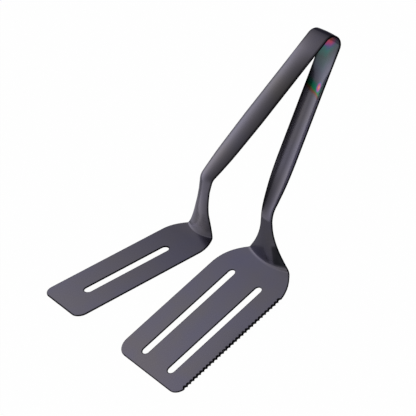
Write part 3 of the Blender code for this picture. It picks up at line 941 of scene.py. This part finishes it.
def drop_distance(tree, strip):
    """Distance on the strip from the drop's middle, 1 at its rim."""
    across = node(tree, "ShaderNodeMath", {
        0: strip["X"], 1: 1.0 / DROP_HALF_WIDTH, 2: -DROP_ACROSS / DROP_HALF_WIDTH},
        operation="MULTIPLY_ADD")
    along = node(tree, "ShaderNodeMath", {
        0: strip["Y"], 1: 1.0 / DROP_HALF_LENGTH, 2: -DROP_ALONG / DROP_HALF_LENGTH},
        operation="MULTIPLY_ADD")
    apart = node(tree, "ShaderNodeCombineXYZ", {"X": across, "Y": along})
    return node(tree, "ShaderNodeVectorMath", {0: apart}, operation="LENGTH")


def sheared_edge(name, colour, roughness):
    """Sheared or ground edge of the coated sheet: torn and rough, and near black, partly the dark coat
    and partly painted shade.
    """
    material, output = new_material(name)
    tree = material.node_tree
    place = node(tree, "ShaderNodeTexCoord").outputs["Object"]
    # Shear marks are about 0.1 mm apart, drawn 0.5 mm apart so that they show
    marks = node(tree, "ShaderNodeTexNoise", {"Vector": place, "Scale": 2000.0, "Detail": 2.0})
    tone = node(tree, "ShaderNodeMix", {
        "Factor": marks,
        "A": (*(channel * 0.6 for channel in colour), 1.0),
        "B": (*(channel * 1.5 for channel in colour), 1.0)}, data_type="RGBA")
    torn = node(tree, "ShaderNodeMapRange", {
        "Value": marks, "To Min": roughness - 0.10, "To Max": roughness + 0.10})
    ridges = node(tree, "ShaderNodeBump", {"Height": marks, "Strength": 0.5, "Distance": 0.00002})
    shader = node(tree, "ShaderNodeBsdfPrincipled", {
        "Base Color": tone,
        "Metallic": 1.0,
        "Roughness": torn,
        "Specular Tint": (*TORN_GRAZING, 1.0),
        "Normal": ridges})
    tree.links.new(shader.outputs["BSDF"], output.inputs["Surface"])
    return material


def steel_materials(finish, slot_width):
    """The materials of the sheet, made once and shared by both halves, in the order of their slots."""
    names = ("gunmetal_coat_outer", "gunmetal_coat_inner", "sheared_edge", "ground_teeth",
             "gunmetal_coat_rim", "gunmetal_coat_crest")
    if names[OUTER] in bpy.data.materials:
        return [bpy.data.materials[name] for name in names]
    # The outer side tops the narrow blade and the inner side the wide one, so each coat knows only those
    # slots, and the painted shade round them shows wrongly on the other blade's underside too
    return [
        gunmetal_coat(names[OUTER], finish, OUTER_PAINTED_SHADING, SATIN_GRAZING, outer_painted_shading,
                      NARROW_HALF["slots"], slot_width),
        gunmetal_coat(names[INNER], finish, INNER_PAINTED_SHADING, SATIN_GRAZING, inner_painted_shading_and_heat_tint,
                      WIDE_HALF["slots"], slot_width),
        sheared_edge(names[EDGE], finish.edge, TORN_ROUGHNESS),
        sheared_edge(names[GROUND], finish.ground, GROUND_ROUGHNESS),
        gunmetal_coat(names[RIM], finish, RIM_PAINTED_SHADING, SATIN_GRAZING),
        gunmetal_coat(names[CREST], finish, OUTER_PAINTED_SHADING, CREST_SHADED_GRAZING)]


class TONGS_OT_wide_half(bpy.types.Operator):
    """Build the wide half: slotted and serrated blade, neck, channel arm and half of the bow"""

    bl_idname = "tongs.wide_half"
    bl_label = "Wide half"

    def execute(self, context):
        piece = make_half("wide_half", WIDE_HALF, context.scene)
        along = strip_direction(WIDE_TANGENT)
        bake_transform(piece)
        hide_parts("wide_arm", "spring_bow")
        return {"FINISHED"}


class TONGS_OT_narrow_half(bpy.types.Operator):
    """Build the narrow half: single-slotted blade, neck, channel arm and half of the bow"""

    bl_idname = "tongs.narrow_half"
    bl_label = "Narrow half"

    def execute(self, context):
        piece = make_half("narrow_half", NARROW_HALF, context.scene)
        along = strip_direction(NARROW_TANGENT)
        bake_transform(piece)
        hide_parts("narrow_arm")
        return {"FINISHED"}


def soft_light(tree, bearing, direction, sharpness, brightness):
    """Brightness of one soft round light in the room, fading with the angle from its direction."""
    facing = node(tree, "ShaderNodeVectorMath", {0: bearing, 1: Vector(direction).normalized()},
                  operation="DOT_PRODUCT")
    fading = node(tree, "ShaderNodeMath", {0: facing, 1: sharpness, 2: -sharpness},
                  operation="MULTIPLY_ADD")
    fading = node(tree, "ShaderNodeMath", {0: fading}, operation="EXPONENT")
    return node(tree, "ShaderNodeMath", {0: fading, 1: brightness}, operation="MULTIPLY")


def soft_room(stage):
    """A white studio with three big soft lights: behind the tongs, above them and low beyond the blades.

    The camera sees it plain white, and only the tongs and the floor see the lights.
    """
    world = bpy.data.worlds.new("soft_room")
    world.use_nodes = True
    tree = world.node_tree
    tree.nodes.clear()
    bearing = node(tree, "ShaderNodeTexCoord").outputs["Generated"]
    back = soft_light(tree, bearing, stage.back_light_from, BACK_LIGHT_FOCUS, stage.back_light)
    top = soft_light(tree, bearing, stage.top_light_from, TOP_LIGHT_FOCUS, stage.top_light)
    side = soft_light(tree, bearing, stage.side_light_from, SIDE_LIGHT_FOCUS, stage.side_light)
    room = back
    for light in (top, side):
        room = node(tree, "ShaderNodeMath", {0: room, 1: light}, operation="ADD")
    rays = node(tree, "ShaderNodeLightPath").outputs
    shown = node(tree, "ShaderNodeMix", {"Factor": rays["Is Camera Ray"], "A": room, "B": 1.0})
    white = node(tree, "ShaderNodeBackground", {"Color": (1.0, 1.0, 1.0, 1.0), "Strength": shown})
    node(tree, "ShaderNodeOutputWorld", {"Surface": white})
    return world


def white_floor(stage):
    """Matt white card: plain white to the camera, and grey where the metal mirrors it."""
    material, output = new_material("white_floor")
    tree = material.node_tree
    rays = node(tree, "ShaderNodeLightPath").outputs
    gleam = node(tree, "ShaderNodeMath", {
        0: rays["Is Glossy Ray"], 1: rays["Is Transmission Ray"]}, operation="MAXIMUM")
    gleam = node(tree, "ShaderNodeMath", {0: gleam, 1: stage.floor_shine}, operation="MULTIPLY")
    plain = node(tree, "ShaderNodeMath", {0: rays["Is Camera Ray"], 1: FLOOR_WHITE}, operation="MULTIPLY")
    share = node(tree, "ShaderNodeMath", {0: gleam, 1: plain}, operation="MAXIMUM")
    matt = node(tree, "ShaderNodeBsdfDiffuse", {"Color": (*stage.floor, 1.0)})
    glow = node(tree, "ShaderNodeEmission", {"Color": (1.0, 1.0, 1.0, 1.0), "Strength": 1.0})
    mixed = node(tree, "ShaderNodeMixShader", {0: share, 1: matt, 2: glow})
    tree.links.new(mixed.outputs["Shader"], output.inputs["Surface"])
    return material


class TONGS_OT_stage(bpy.types.Operator):
    """Build the white floor, the soft room and the camera"""

    bl_idname = "tongs.stage"
    bl_label = "Stage"

    def execute(self, context):
        scene = context.scene
        stage = scene.tongs_stage
        bpy.ops.mesh.primitive_plane_add(size=FLOOR_SIZE, location=(0.0, 0.0, -FLOOR_SINK))
        floor = context.object
        floor.name = "floor"
        bpy.ops.object.transform_apply(location=True, rotation=True, scale=True)
        floor.data.materials.append(white_floor(stage))

        scene.world = soft_room(stage)

        camera_data = bpy.data.cameras.new("camera")
        camera_data.sensor_width = SENSOR_WIDTH
        camera_data.lens = stage.camera_lens
        camera_data.clip_end = VIEW_END
        camera = bpy.data.objects.new("camera", camera_data)
        camera.location = stage.camera_place
        camera.rotation_euler = stage.camera_turn
        scene.collection.objects.link(camera)
        scene.camera = camera
        scene.view_settings.view_transform = "Standard"
        return {"FINISHED"}


class TONGS_PT_panel(bpy.types.Panel):
    """Sidebar panel that lists the sizes, the finish and the operators"""

    bl_idname = "TONGS_PT_panel"
    bl_label = "Steak tongs"
    bl_space_type = "VIEW_3D"
    bl_region_type = "UI"
    bl_category = "Tongs"

    def draw(self, context):
        for group in (context.scene.tongs_sizes, context.scene.tongs_finish, context.scene.tongs_stage):
            for key in group.bl_rna.properties.keys():
                if key not in ("rna_type", "name"):
                    self.layout.prop(group, key)
        for operator in (TONGS_OT_wide_half, TONGS_OT_narrow_half, TONGS_OT_stage):
            self.layout.operator(operator.bl_idname)


CLASSES = (TongsSizes, TongsFinish, TongsStage, TONGS_OT_wide_half, TONGS_OT_narrow_half, TONGS_OT_stage,
           TONGS_PT_panel)


def register():
    for each in CLASSES:
        bpy.utils.register_class(each)
    bpy.types.Scene.tongs_sizes = bpy.props.PointerProperty(type=TongsSizes)
    bpy.types.Scene.tongs_finish = bpy.props.PointerProperty(type=TongsFinish)
    bpy.types.Scene.tongs_stage = bpy.props.PointerProperty(type=TongsStage)


def unregister():
    del bpy.types.Scene.tongs_stage
    del bpy.types.Scene.tongs_finish
    del bpy.types.Scene.tongs_sizes
    for each in reversed(CLASSES):
        bpy.utils.unregister_class(each)


def main():
    register()
    bpy.ops.tongs.stage()
    bpy.ops.tongs.wide_half()
    bpy.ops.tongs.narrow_half()


if __name__ == "__main__":
    main()
